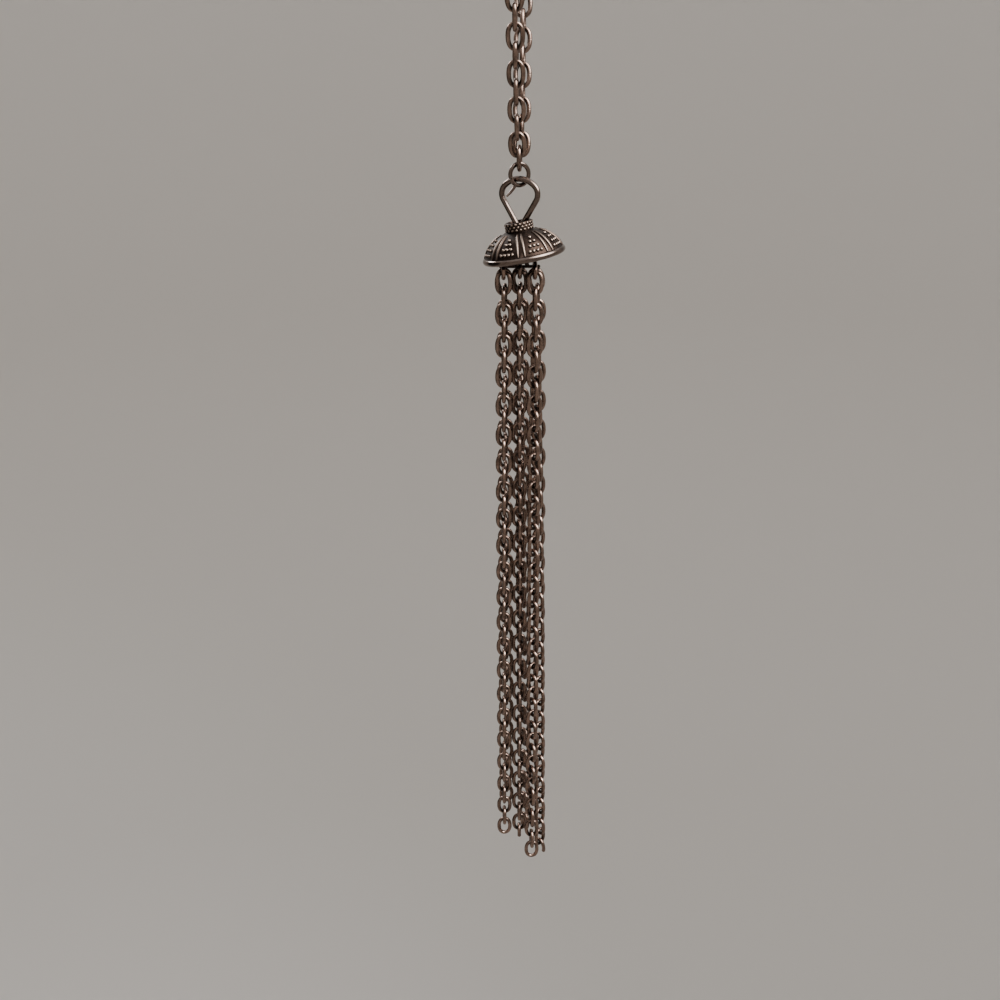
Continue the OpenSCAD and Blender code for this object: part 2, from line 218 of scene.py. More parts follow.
class CapSizes(bpy.types.PropertyGroup):
    cap_d: length("Cap diameter", 0.01, "Outer diameter of the cap at its rim")
    rim_d: length("Rim", 0.00075, "Thickness of the round rim")
    dome_h: length("Dome height", 0.0032, "Height of the dome over the rim's bottom")
    bulge: length("Bulge", 0.00055, "How far the dome bulges out of a straight cone")
    wall: length("Wall", 0.00045, "Wall thickness of the dome")
    plate_rise: length("Plate rise", 0.0001, "Height of the top plate over the dome")
    collar_d: length("Collar diameter", 0.0032, "Outer diameter of the collar")
    collar_h: length("Collar height", 0.0011, "Height of the collar")
    collar_soft: length("Collar edge", 0.00008, "Width of the collar's broken edges")
    collar_foot: length("Collar foot", 0.0004, "How far the collar goes into the dome")
    recess_r: length("Recess", 0.0013, "Radius of the collar's recess")
    hole_r: length("Hole", 0.0008, "Radius of the hole for the stem")
    drop: length("Drop", 0.008, "Drop of the plate below the centre link")
    tilt: angle("Tilt", 10, "Tilt of the cap")
    rib_groups: count("Rib groups", 8, "Groups of two ribs round the dome")
    rib_start: angle("Rib start", -4, "Turn of the first group of ribs")
    rib_spread: angle("Rib spread", 5, "Turn of a rib from the middle of its group")
    rib_d: length("Rib", 0.00034, "Diameter of a rib")
    rib_top: angle("Rib top", 70, "Where the ribs end on the dome's arc")
    grain_d: length("Grain", 0.00042, "Diameter of a grain")
    grain_step: length("Grain step", 0.00048, "Distance of the grains in a row")
    collar_grain_d: length("Collar grain", 0.00038, "Diameter of a grain of the collar")
    grain_sink: length("Grain sink", 0.00007, "How far the collar's grains sink in")
    collar_grains: count("Collar grains", 20, "Grains in a row round the collar")


class TasselSizes(bpy.types.PropertyGroup):
    turn: angle("Turn", 5, "Turn of the cap and the tassel from facing +X")
    level_drop: length("Level drop", 0.01262, "Drop of the level links")
    hook_drop: length("Hook drop", 0.01272, "Drop of the strands' hooks")
    level_l: length("Level length", 0.0037, "Outer length of the level links")
    level_w: length("Level width", 0.0023, "Outer width of the level links")
    bar_l: length("Bar length", 0.0045, "Length of the cross bar")
    bar_d: length("Bar", 0.00036, "Diameter of the cross bar")
    bar_gap: length("Bar gap", 0.00012, "Slack between the bar and the level links")
    knob_d: length("Knob", 0.00044, "Diameter of the bar's round ends")
    hanger_wire: length("Hanger wire", 0.0005, "Wire of the hanger's legs")
    leg_reach: length("Leg reach", 0.00095, "Distance of a leg's foot from the middle")


class MetalLooks(bpy.types.PropertyGroup):
    bright: colour("Bright", (0.34, 0.26, 0.21), "Polished silver on the high places")
    handled: colour("Handled", (0.185, 0.14, 0.118), "Silver of the bail and the ring")
    chain: colour("Chain", (0.31, 0.215, 0.172), "Silver of the chain, browned by age")
    tarnish: colour("Tarnish", (0.045, 0.030, 0.023), "Oxide in the low places")
    field: colour("Field", (0.026, 0.017, 0.013), "Thick oxide between the grains")


class StageLooks(bpy.types.PropertyGroup):
    wall: colour("Wall", (0.80, 0.765, 0.725), "Pale floor and back wall")
    card: colour("Card", (0.02, 0.02, 0.02), "Black card that the metal mirrors")
    azimuth: angle("Azimuth", 95, "Camera's place round the necklace")
    pitch: angle("Pitch", 21.7, "How far the camera looks down")
    roll: angle("Roll", 0.6, "Camera's roll")
    distance: length("Distance", 0.1214, "Camera's distance from the plumb line")
    height: length("Height", 0.00603, "Camera's height over the centre link")
    side: length("Side", -0.00265, "Camera's offset to its right")
    key: factor("Key", 1.45, "Power of the key light in watts")
    key_spread: angle("Key spread", 70, "How widely the key light fans out")
    fill: factor("Fill", 0.12, "Power of the fill light in watts")
    fill_spread: angle("Fill spread", 45, "How widely the fill light fans out")
    sky: factor("Sky", 0.79, "Strength of the even light from above")


GROUPS = {"chain": ChainSizes, "loop": LoopSizes, "ring": RingSizes, "cap": CapSizes,
          "tassel": TasselSizes, "metal": MetalLooks, "stage": StageLooks}


def sizes(name):
    """The property group of that name on the scene."""
    return getattr(bpy.context.scene, "necklace_" + name)


# Geometry

def shift(place):
    """A matrix that moves to a place."""
    return Matrix.Translation(place)


def spin(radians, axis="Z"):
    """A matrix that turns about an axis."""
    return Matrix.Rotation(radians, 4, axis)


def shown(name, data):
    """An object in the scene."""
    obj = bpy.data.objects.new(name, data)
    bpy.context.scene.collection.objects.link(obj)
    return obj


def solid(name, verts, faces, material):
    """A smooth mesh object in the scene."""
    mesh = bpy.data.meshes.new(name)
    mesh.from_pydata(verts, [], faces)
    mesh.update()
    mesh.shade_smooth()
    mesh.materials.append(material)
    return shown(name, mesh)


class Shape:
    """Grows one mesh out of wires, balls and turned profiles."""

    def __init__(self):
        self.verts = []
        self.faces = []
        self.total = 0

    def add(self, part, matrix):
        """Adds a part's vertices and faces, placed by a matrix."""
        verts, faces = part
        m = np.array(matrix)
        self.verts.append(verts @ m[:3, :3].T + m[:3, 3])
        self.faces += [[i + self.total for i in face] for face in faces]
        self.total += len(verts)

    def piece(self, name, metal, body, slot, *nodes):
        """Makes the object, which rides on a body and stands for the nodes."""
        obj = solid(name, np.concatenate(self.verts), self.faces, silver(metal))
        obj.data.set_sharp_from_angle(angle=SHARP_ANGLE)
        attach(obj, body)
        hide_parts(*nodes)


def grid_faces(rows, columns, rows_closed, columns_closed):
    """Faces of a grid of points, row by row. It may close on itself either way."""
    i, j = np.meshgrid(np.arange(rows if rows_closed else rows - 1),
                       np.arange(columns if columns_closed else columns - 1),
                       indexing="ij")
    i2, j2 = (i + 1) % rows, (j + 1) % columns
    corners = [i * columns + j, i * columns + j2, i2 * columns + j2, i2 * columns + j]
    return np.stack(corners, axis=-1).reshape(-1, 4)


def wire(points, across, diameter, sides, closed=False, scale=1.0):
    """A round wire along flat points, which leave out the axis that runs across
    them: 0 for (y, z) points, 1 for (x, z) points. scale thins it at each point."""
    points = np.insert(np.asarray(points, float), across, 0.0, axis=1)
    if closed:
        ahead, behind = np.roll(points, -1, axis=0), np.roll(points, 1, axis=0)
    else:
        ahead = np.vstack([points[1:], 2 * points[-1] - points[-2]])
        behind = np.vstack([2 * points[0] - points[1], points[:-1]])
    tangent = ahead - behind
    tangent /= np.linalg.norm(tangent, axis=1)[:, None]
    up = np.eye(3)[across]
    side = np.cross(up, tangent)[:, None]
    n = len(points)
    radius = np.broadcast_to(scale, n)[:, None, None] * diameter / 2
    a = np.linspace(0, FULL_TURN, sides, endpoint=False)[:, None]
    verts = points[:, None] + (side * np.cos(a) + up * np.sin(a)) * radius
    faces = grid_faces(n, sides, closed, True).tolist()
    if not closed:
        faces += [list(range(sides))[::-1], list(range((n - 1) * sides, n * sides))]
    return verts.reshape(-1, 3), faces


def turned(profile, steps, closed=True):
    """A profile of (radius, height) points turned round the Z axis."""
    a = np.linspace(0, FULL_TURN, steps, endpoint=False)
    r, z = np.asarray(profile, float).T
    verts = np.stack([np.outer(np.cos(a), r), np.outer(np.sin(a), r),
                      np.tile(z, (steps, 1))], axis=-1)
    faces = grid_faces(steps, len(r), True, closed)[:, [0, 3, 2, 1]]
    return verts.reshape(-1, 3), faces.tolist()


def ball(diameter, detail=3):
    """A round ball as triangles."""
    bm = bmesh.new()
    bmesh.ops.create_icosphere(bm, subdivisions=detail, radius=diameter / 2)
    verts = np.array([v.co for v in bm.verts])
    faces = [[v.index for v in f.verts] for f in bm.faces]
    bm.free()
    return verts, faces


def arc(mid, radius, start, sweep, steps):
    """Flat points along an arc. Angles are in radians."""
    a = np.linspace(start, start + sweep, steps)
    return np.column_stack([mid[0] + radius * np.cos(a), mid[1] + radius * np.sin(a)])


def circle(mid, radius, steps):
    """Flat points round a circle."""
    return arc(mid, radius, 0, FULL_TURN, steps + 1)[:-1]


def oval_link(long, wide, sides=12, steps=30, seam=True):
    """An oval link, its length along Z and its width along Y, of wire that is
    thicker on its sides, with a soldered seam on one of them."""
    chain = sizes("chain")
    half_w, half_l = (wide - chain.side_wire) / 2, (long - chain.end_wire) / 2
    # drawn in fine steps first, so that the link's points can be spread evenly
    a = np.linspace(0, FULL_TURN, 721)
    outline = [half * np.sign(wave) * np.abs(wave) ** (2 / chain.fullness)
               for half, wave in ((half_w, np.cos(a)), (half_l, np.sin(a)))]
    along = np.concatenate([[0], np.cumsum(np.hypot(*np.diff(outline, axis=1)))])
    total = along[-1]
    places = np.arange(steps) / steps * total
    if seam:
        spots, thickness = np.array(SEAM).T
        spots = spots * MM
        places = places[(places > SEAM_ROOM) & (places < total - SEAM_ROOM)]
        places = np.sort(np.concatenate([spots % total, places]))
    y, z = (np.interp(places, along, line) for line in outline)
    scale = 1 + (chain.side_wire / chain.end_wire - 1) * (1 - (z / half_l) ** 2)
    if seam:
        from_seam = (places + total / 2) % total - total / 2
        scale *= np.interp(from_seam, spots, thickness)
    return wire(np.column_stack([y, z]), 0, chain.end_wire, sides, True, scale)


def cut_link():
    """What is left of a link that was cut off: its top end with two stubs."""
    chain = sizes("chain")
    half_w = (chain.link_width - chain.side_wire) / 2
    a = np.linspace(-LONG_STUB, math.pi + SHORT_STUB, 22)
    points = np.column_stack([half_w * np.cos(a), half_link() * np.sin(a)])
    return wire(points, 0, chain.side_wire, 10)


def link_matrix(place, direction, turn):
    """Where a link lies: its middle, the way its length points, and its turn."""
    up = direction if direction.z >= 0 else -direction
    lean = math.atan2(up.y, up.x)
    polar = math.acos(max(-1, min(1, up.z / up.length)))
    return shift(place) @ spin(lean) @ spin(polar, "Y") @ spin(turn - lean)


def scatter(index, salt):
    """A number from -1 to 1 that looks random and is the same on every run."""
    return (math.sin(index * 12.9898 + salt * 78.233) * 43758.5453) % 1 * 2 - 1


def wobbled(matrix, index, salt):
    """The same place, with the link turned and tipped a little out of line."""
    chain = sizes("chain")
    return (matrix @ spin(chain.wobble * scatter(index, salt))
            @ spin(chain.tip * scatter(index, salt + 1), "X"))


def pitch():
    """Distance of two links along the chain."""
    chain = sizes("chain")
    return chain.link_length - 2 * chain.wire - chain.slack


def half_link():
    """Half a link's length between the middles of its wire."""
    chain = sizes("chain")
    return (chain.link_length - chain.wire) / 2


def centre_height():
    """Height of the centre link's middle, which follows from the loop."""
    loop = sizes("loop")
    r = loop.neck_radius
    return -r - (r - loop.start_x * math.cos(loop.slant)) / math.sin(loop.slant)


def hung(turn=0.0):
    """The place of what hangs: the middle of the centre link."""
    return shift((0, 0, centre_height())) @ spin(turn)


def loop_lengths():
    """Length of a straight strand, and of a whole side up to the nape."""
    loop = sizes("loop")
    straight = ((-loop.neck_radius - centre_height()) * math.cos(loop.slant)
                - loop.start_x * math.sin(loop.slant))
    return straight, straight + loop.neck_radius * (QUARTER + loop.slant)


def strand_point(side, t):
    """Point of a neck strand's middle line, t from the centre link, and its way."""
    loop = sizes("loop")
    straight, whole = loop_lengths()
    y = -side * loop.strand_y * (1 - t / whole)
    if t < straight:
        across, rise = math.sin(loop.slant), math.cos(loop.slant)
        return (Vector((side * (loop.start_x + t * across), y,
                        centre_height() + t * rise)), Vector((side * across, 0, rise)))
    a = (t - straight) / loop.neck_radius - loop.slant
    r = loop.neck_radius
    return (Vector((side * r * math.cos(a), y, -r + r * math.sin(a))),
            Vector((-side * math.sin(a), 0, math.cos(a))))


# Materials

def new_group(name, inputs, outputs):
    """A shader node group with named sockets, and what it is given and gives out."""
    group = bpy.data.node_groups.new(name, "ShaderNodeTree")
    for label, kind, value in inputs:
        socket = group.interface.new_socket(name=label, in_out="INPUT",
                                            socket_type=kind)
        socket.default_value = value
    for label, kind in outputs:
        group.interface.new_socket(name=label, in_out="OUTPUT", socket_type=kind)
    return (group, group.nodes.new("NodeGroupInput").outputs,
            group.nodes.new("NodeGroupOutput").inputs)


def node(tree, kind, feeds=None, **settings):
    """Adds a node, sets its properties, and feeds its inputs, by name or number,
    with values or other nodes' outputs."""
    made = tree.nodes.new("ShaderNode" + kind)
    for key, value in settings.items():
        setattr(made, key, value)
    for socket, value in (feeds or {}).items():
        if isinstance(value, bpy.types.NodeSocket):
            tree.links.new(value, made.inputs[socket])
        else:
            made.inputs[socket].default_value = value
    return made


def calc(tree, operation, *values):
    """The result of a Math node."""
    return node(tree, "Math", dict(enumerate(values)), operation=operation).outputs[0]


def ramp(tree, value, zero, one, kind="LINEAR"):
    """Goes from 0 to 1 as a value goes from zero to one."""
    return node(tree, "MapRange", {"Value": value, "From Min": zero, "From Max": one},
                interpolation_type=kind).outputs["Result"]


def mixed(tree, share, first, second, kind="FLOAT"):
    """Goes from the first to the second as the share goes from 0 to 1."""
    return node(tree, "Mix", {"Factor": share, "A": first, "B": second},
                data_type=kind).outputs["Result"]


def tarnish_group():
    """Oxide that gathers in patches and in the recesses, over brighter silver."""
    group, given, out = new_group(
        "Tarnish",
        [("Bright", COLOR, (0.5, 0.5, 0.5, 1)), ("Dark", COLOR, (0.05, 0.05, 0.05, 1)),
         ("Amount", FLOAT, 0.5), ("Recess Size", FLOAT, 0.0005),
         ("Smooth", FLOAT, 0.22), ("Dull", FLOAT, 0.5)],
        [("Color", COLOR), ("Roughness", FLOAT)])
    # scales in features a metre, what specks and recesses add to the patches, and
    # where the oxide starts and is full
    patch_scale, speck_scale, speck_share, recess_share = 1000.0, 5000.0, 0.4, 1.3
    start, full = 0.7, 1.4
    place = node(group, "TexCoord").outputs["Object"]
    patches = node(group, "TexNoise",
                   {"Vector": place, "Scale": patch_scale, "Detail": 3.0})
    specks = node(group, "TexNoise",
                  {"Vector": place, "Scale": speck_scale, "Detail": 4.0})
    spots = calc(group, "MULTIPLY_ADD", specks.outputs["Fac"], speck_share,
                 patches.outputs["Fac"])
    recess = node(group, "AmbientOcclusion", {"Distance": given["Recess Size"]},
                  samples=6)
    shade = calc(group, "SUBTRACT", 1.0, recess.outputs["AO"])
    oxide = calc(group, "MULTIPLY_ADD", shade, recess_share, spots)
    oxide = calc(group, "ADD", oxide, given["Amount"])
    mask = ramp(group, oxide, start, full, "SMOOTHSTEP")
    tint = mixed(group, mask, given["Bright"], given["Dark"], "RGBA")
    rough = mixed(group, mask, given["Smooth"], given["Dull"])
    group.links.new(tint, out["Color"])
    group.links.new(rough, out["Roughness"])
    return group


def wear_group():
    """Fine scratches and pits of worn silver, as a height."""
    group, given, out = new_group(
        "Fine Wear",
        [("Scratch Scale", FLOAT, 3000.0), ("Pit Scale", FLOAT, 9000.0)],
        [("Height", FLOAT)])
    # the way and the stretch of the scratches, and the width and depth of a pit
    slant, stretch, pit_width, pit_share = (0.5, 0.3, 0.2), (1.0, 6.0, 1.0), 0.25, 0.35
    place = node(group, "TexCoord").outputs["Object"]
    slanted = node(group, "Mapping",
                   {"Vector": place, "Rotation": slant, "Scale": stretch})
    scratches = node(group, "TexNoise",
                     {"Vector": slanted.outputs[0], "Scale": given["Scratch Scale"],
                      "Detail": 6.0, "Roughness": 0.7})
    pits = node(group, "TexVoronoi", {"Vector": place, "Scale": given["Pit Scale"]})
    level = ramp(group, pits.outputs["Distance"], 0.0, pit_width)
    height = calc(group, "MULTIPLY_ADD", level, pit_share, scratches.outputs["Fac"])
    group.links.new(height, out["Height"])
    return group


def relief_group():
    """Where the ribs and grains stand proud of the cap's dome and collar, as a mask.
    The inputs are the heights over the dome at which it starts and is full."""
    cap = sizes("cap")
    low, high = (cap.grain_d * share for share in DOME_SHINE)
    group, given, out = new_group(
        "Cap Relief", [("Start", FLOAT, low), ("Full", FLOAT, high)],
        [("Raised", FLOAT)])
    mid, radius = dome_arc()[:2]
    spot = cap_matrix()
    place = node(group, "TexCoord").outputs["Object"]
    # the point in the cap's own frame, as a distance from its axis and a height
    level = node(group, "VectorRotate",
                 {"Vector": place, "Center": tuple(spot.to_translation()),
                  "Rotation": tuple(spot.inverted().to_euler())},
                 rotation_type="EULER_XYZ")
    local = node(group, "VectorMath",
                 {0: level.outputs[0], 1: tuple(spot.to_translation())},
                 operation="SUBTRACT")
    x, y, z = node(group, "SeparateXYZ", {0: local.outputs[0]}).outputs
    r = calc(group, "MULTIPLY_ADD", y, y, calc(group, "MULTIPLY", x, x))
    r = calc(group, "SQRT", r)
    # its height over the dome's arc, between the rim and the collar
    flat = node(group, "CombineXYZ", {"X": calc(group, "SUBTRACT", r, float(mid[0])),
                                      "Y": calc(group, "SUBTRACT", z, float(mid[1]))})
    from_mid = node(group, "VectorMath", {0: flat.outputs[0]}, operation="LENGTH")
    rise = calc(group, "SUBTRACT", from_mid.outputs["Value"], radius)
    raised = ramp(group, rise, given["Start"], given["Full"], "SMOOTHSTEP")
    over_rim = ramp(group, z, *(cap.rim_d * share for share in RIM_SHINE))
    under_collar = ramp(group, z, cap.dome_h + cap.plate_rise, cap.dome_h)
    relief = calc(group, "MULTIPLY", raised,
                  calc(group, "MULTIPLY", over_rim, under_collar))
    # the outer half of the grains round the collar
    bead_r = cap.collar_d / 2 - cap.grain_sink
    beads = ramp(group, r, *(bead_r + cap.collar_grain_d * share
                             for share in COLLAR_SHINE))
    beads = calc(group, "MULTIPLY", beads, calc(group, "GREATER_THAN", z, cap.dome_h))
    group.links.new(calc(group, "MAXIMUM", relief, beads), out["Raised"])
    return group


def group_named(name):
    """A node group, made the first time it is asked for."""
    makers = {"Tarnish": tarnish_group, "Fine Wear": wear_group,
              "Cap Relief": relief_group}
    return bpy.data.node_groups.get(name) or makers[name]()


def rgba(rgb):
    """A colour with full alpha."""
    return (rgb[0], rgb[1], rgb[2], 1.0)


def new_material(name):
    """A material, its node tree and its shader."""
    made = bpy.data.materials.new(name)
    made.use_nodes = True
    return made, made.node_tree, made.node_tree.nodes["Principled BSDF"]


def silver(name):
    """An antique silver of the table, made the first time it is asked for: bright
    metal, oxide in patches and recesses, and fine wear."""
    if name in bpy.data.materials:
        return bpy.data.materials[name]
    kind, looks = SILVERS[name], sizes("metal")
    made, tree, shader = new_material(name)
    shader.inputs["Metallic"].default_value = 1.0
    tarnish = node(tree, "Group",
                   {"Bright": rgba(getattr(looks, kind.bright)),
                    "Dark": rgba(getattr(looks, kind.dark)), "Amount": kind.amount,
                    "Smooth": kind.smooth, "Dull": kind.dull},
                   node_tree=group_named("Tarnish"))
    tint, rough = tarnish.outputs["Color"], tarnish.outputs["Roughness"]
    if kind.relief:
        relief = node(tree, "Group", node_tree=group_named("Cap Relief"))
        raised = relief.outputs["Raised"]
        tint = mixed(tree, raised, tint, rgba(looks.bright), "RGBA")
        rough = mixed(tree, raised, rough, kind.smooth)
    wear = node(tree, "Group", node_tree=group_named("Fine Wear"))
    bump = node(tree, "Bump", {"Height": wear.outputs["Height"],
                               "Strength": WEAR_STRENGTH, "Distance": WEAR_DEPTH})
    tree.links.new(tint, shader.inputs["Base Color"])
    tree.links.new(rough, shader.inputs["Roughness"])
    tree.links.new(bump.outputs[0], shader.inputs["Normal"])
    return made


def matt(name, rgb):
    """A plain matt material for the stage."""
    made, _, shader = new_material(name)
    shader.inputs["Base Color"].default_value = rgba(rgb)
    shader.inputs["Roughness"].default_value = 0.9
    return made


# Shapes of the pieces

def chain_side(side, first, last, template, salt):
    """Links first to last of one side of the neck loop."""
    shape = Shape()
    start = sizes("loop").first_link
    for i in range(first, last):
        point, direction = strand_point(side, start + pitch() * i)
        place = link_matrix(point, direction, i % 2 * QUARTER)
        shape.add(template, wobbled(place, i, salt))
    return shape


def ring_heights():
    """Heights of the ring's top and bottom wire from the centre link."""
    chain, ring = sizes("chain"), sizes("ring")
    top = -half_link() + (chain.wire + ring.ring_wire) / 2 + ring.ring_rise
    return top, top - (ring.ring_d - ring.ring_wire)


def bail_outline():
    """Middle line of the bail from its right foot round to its left foot."""
    ring = sizes("ring")
    steps = 14
    top = ring_heights()[1] + (ring.ring_wire + ring.bail_wire) / 2 + ring.hook_gap
    wide, foot = -ring.wide_drop, -ring.foot_drop
    r = ring.shoulder
    x = ring.bail_w / 2 - r
    drop = wide - top
    # the arc over the top runs smoothly into both shoulders
    top_r = (r * r - x * x - drop * drop) / (2 * (drop + r))
    half = math.atan2(x, drop + top_r)
    # and each shoulder into the straight wire down to its foot
    reach = math.hypot(ring.foot_x - x, foot - wide)
    leg = math.atan2(foot - wide, ring.foot_x - x) + math.acos(r / reach)
    over = arc((0, top - top_r), top_r, QUARTER - half, 2 * half, 2 * steps)
    shoulder = arc((x, wide), r, leg, QUARTER - half - leg, steps)
    down = np.linspace((ring.foot_x, foot), shoulder[0], 10)[:-1]
    right = np.vstack([down, shoulder[:-1]])
    return np.vstack([right, over, right[::-1] * (-1, 1)])


def dome_arc():
    """Middle of the dome's arc in (radius, height), its radius, and its end angles."""
    cap = sizes("cap")
    rim_r = (cap.cap_d - cap.rim_d) / 2
    # the arc bulges out of a straight line from inside the rim to inside the collar
    past_rim, up_rim, inside = 0.12 * MM, 0.75 * cap.rim_d, 0.05 * MM
    low = np.array([rim_r + past_rim, up_rim])
    top = np.array([cap.collar_d / 2 - inside, cap.dome_h])
    chord = np.linalg.norm(top - low)
    radius = chord ** 2 / (8 * cap.bulge) + cap.bulge / 2
    outward = np.array([top[1] - low[1], low[0] - top[0]]) / chord
    mid = (low + top) / 2 - outward * (radius - cap.bulge)
    angles = [math.atan2(p[1] - mid[1], p[0] - mid[0])
              for p in ((rim_r, cap.rim_d), (cap.collar_d / 2, cap.dome_h))]
    return mid, radius, angles[0], angles[1]


def plate_height():
    """Height of the cap's top plate over the bottom of its rim."""
    cap = sizes("cap")
    return cap.dome_h + cap.plate_rise


def cap_matrix():
    """Where the cap hangs, tilted about its plate."""
    cap = sizes("cap")
    return (hung(sizes("tassel").turn) @ shift((0, 0, -cap.drop)) @ spin(cap.tilt, "X")
            @ shift((0, 0, -plate_height())))


def tassel_point(at, drop):
    """A point given as (across, away) in millimetres and a drop in metres."""
    return Vector((-at[1] * MM, at[0] * MM, -drop))


def strand_places(strand):
    """The place of every link of a tassel strand."""
    drop, half = sizes("tassel").hook_drop, half_link()
    top = tassel_point(strand.hook, drop)
    knee = tassel_point(strand.knee, drop + 2 * half * KNEE_SHARE)
    first_way = (knee - top).normalized()
    first = top + first_way * half
    bend = first + first_way * pitch() / 2
    low = tassel_point(strand.end, -bend.z + pitch() * (strand.links - 1))
    way = (low - bend).normalized()
    places = []
    for i in range(strand.links):
        f = i / (strand.links - 1)
        turn = math.radians(i % 2 * 90 + strand.twist * f
                            + strand.swell * math.sin(math.pi * f))
        if i == 0:
            places.append(link_matrix(first, first_way, turn))
        else:
            places.append(link_matrix(bend + way * pitch() * (i - 0.5), way, turn))
    return places


# Operators

class NECKLACE_OT_neck_chain(bpy.types.Operator):
    """Cable chain from the front links round the neck to the clasp"""
    bl_idname = "necklace.neck_chain"
    bl_label = "Neck Chain"

    def execute(self, context):
        chain, loop = sizes("chain"), sizes("loop")
        template = oval_link(chain.link_length, chain.link_width, 8, 20, False)
        for side, word in ((-1, "left"), (1, "right")):
            shape = chain_side(side, loop.front_links, loop.side_links, template,
                               salt=3 + side)
            shape.piece("neck_links_" + word, "Chain Silver", "necklace", "chain_metal",
                        "neck_chain_" + word)
        return {"FINISHED"}


class NECKLACE_OT_front_links(bpy.types.Operator):
    """The links next to the centre link, and the centre link"""
    bl_idname = "necklace.front_links"
    bl_label = "Front Links"

    def execute(self, context):
        chain = sizes("chain")
        template = oval_link(chain.link_length, chain.link_width)
        for side, word in ((-1, "left"), (1, "right")):
            shape = chain_side(side, 0, sizes("loop").front_links, template,
                               salt=7 + side)
            shape.piece("front_chain_" + word, "Chain Silver", "necklace",
                        "chain_metal", "front_links_" + word)
        shape = Shape()
        centre = oval_link(chain.link_length, chain.centre_width, 16, 40)
        shape.add(centre, hung(QUARTER))
        shape.piece("middle_link", "Chain Silver", "necklace", "chain_metal",
                    "centre_link")
        return {"FINISHED"}


class NECKLACE_OT_clasp(bpy.types.Operator):
    """Barrel clasp with two eyes at the nape"""
    bl_idname = "necklace.clasp"
    bl_label = "Clasp"

    def execute(self, context):
        chain, loop = sizes("chain"), sizes("loop")
        r, half, groove = loop.clasp_d / 2, loop.clasp_l / 2, loop.clasp_groove
        # the eyes reach from the barrel's ends to the last links
        eye_t = (loop.first_link + pitch() * (loop.side_links - 1) + half_link()
                 - (chain.wire + loop.eye_wire) / 2 - loop.eye_gap)
        eye_x = loop_lengths()[1] - eye_t
        z = -loop.neck_radius * (1 - math.cos(eye_x / loop.neck_radius))
        eye = wire(circle((0, 0), eye_x - half, 48), 1, loop.eye_wire, 12, True)
        # three grooves round the barrel, and rounded ends
        end_r, edge_r, spacing = r * 0.6, r * 0.9, half * 0.55
        outline = [(0, -half), (end_r, -half), (edge_r, -half + groove)]
        for middle in (-spacing, 0.0, spacing):
            outline += [(r, middle - 2 * groove), (r - groove, middle - groove),
                        (r - groove, middle + groove), (r, middle + 2 * groove)]
        outline += [(edge_r, half - groove), (end_r, half), (0, half)]
        shape = Shape()
        shape.add(turned(outline, 64), shift((0, 0, z)) @ spin(QUARTER, "Y"))
        for end in (-half, half):
            shape.add(eye, shift((end, 0, z)))
        shape.piece("barrel_clasp", "Wire Silver", "necklace", "cap_metal", "clasp")
        return {"FINISHED"}


class NECKLACE_OT_jump_ring(bpy.types.Operator):
    """Round ring that holds the bail"""
    bl_idname = "necklace.jump_ring"
    bl_label = "Jump Ring"

    def execute(self, context):
        ring = sizes("ring")
        place = hung(ring.ring_turn)
        middle = sum(ring_heights()) / 2
        shape = Shape()
        # the ring is a bent wire: its two ends almost meet on the side
        gap = math.radians(HALF_CUT)
        bent = arc((0, middle), (ring.ring_d - ring.ring_wire) / 2,
                   math.radians(RING_CUT) + gap, FULL_TURN - 2 * gap, 72)
        shape.add(wire(bent, 0, ring.ring_wire, 16), place)
        # one end of the wire was left long and sticks out under the ring
        f = np.linspace(0, 1, 12)
        across, drop = ((start + slope * f + bend * f * f) * MM
                        for start, slope, bend in (TAIL_ACROSS, TAIL_DROP))
        tail = np.column_stack([across, middle - drop])
        shape.add(wire(tail, 0, ring.tail_wire, 10, scale=1 - TAIL_TAPER * f), place)
        shape.piece("open_ring", "Wire Silver", "ring", "chain_metal", "jump_ring")
        return {"FINISHED"}


class NECKLACE_OT_bail(bpy.types.Operator):
    """Heavy wire bail with its stem, and the hanger inside the cap"""
    bl_idname = "necklace.bail"
    bl_label = "Bail"

    def execute(self, context):
        ring, tassel, chain = sizes("ring"), sizes("tassel"), sizes("chain")
        stop = (0, -ring.stem_drop)
        shape = Shape()
        shape.add(wire(bail_outline(), 0, ring.bail_wire, 18), hung(ring.bail_turn))
        stem = [(0, -ring.foot_drop + 0.1 * MM), stop]
        shape.add(wire(stem, 0, ring.stem_d, 20), hung())
        shape.add(ball(ring.stop_d, 4), hung() @ shift((0, *stop)))
        shape.piece("wire_bail", "Wire Silver", "drop", "cap_metal", "bail")

        shape = Shape()
        facing, half = hung(tassel.turn), tassel.bar_l / 2
        bar_z = (-tassel.level_drop + tassel.level_w / 2 - chain.wire - tassel.bar_d / 2
                 - tassel.bar_gap)
        shape.add(wire([(-half, bar_z), (half, bar_z)], 0, tassel.bar_d, 12), facing)
        for side in (-1, 1):
            leg = [stop, (side * tassel.leg_reach, bar_z)]
            shape.add(wire(leg, 0, tassel.hanger_wire, 12), facing)
            shape.add(ball(tassel.knob_d), facing @ shift((0, side * half, bar_z)))
        # the hanger gets the darker copy of the bail's silver, which is painted shade
        # for its place in the cap's shadow
        shape.piece("cap_hanger", "Shadow Silver", "drop", "cap_metal", "bail")
        return {"FINISHED"}


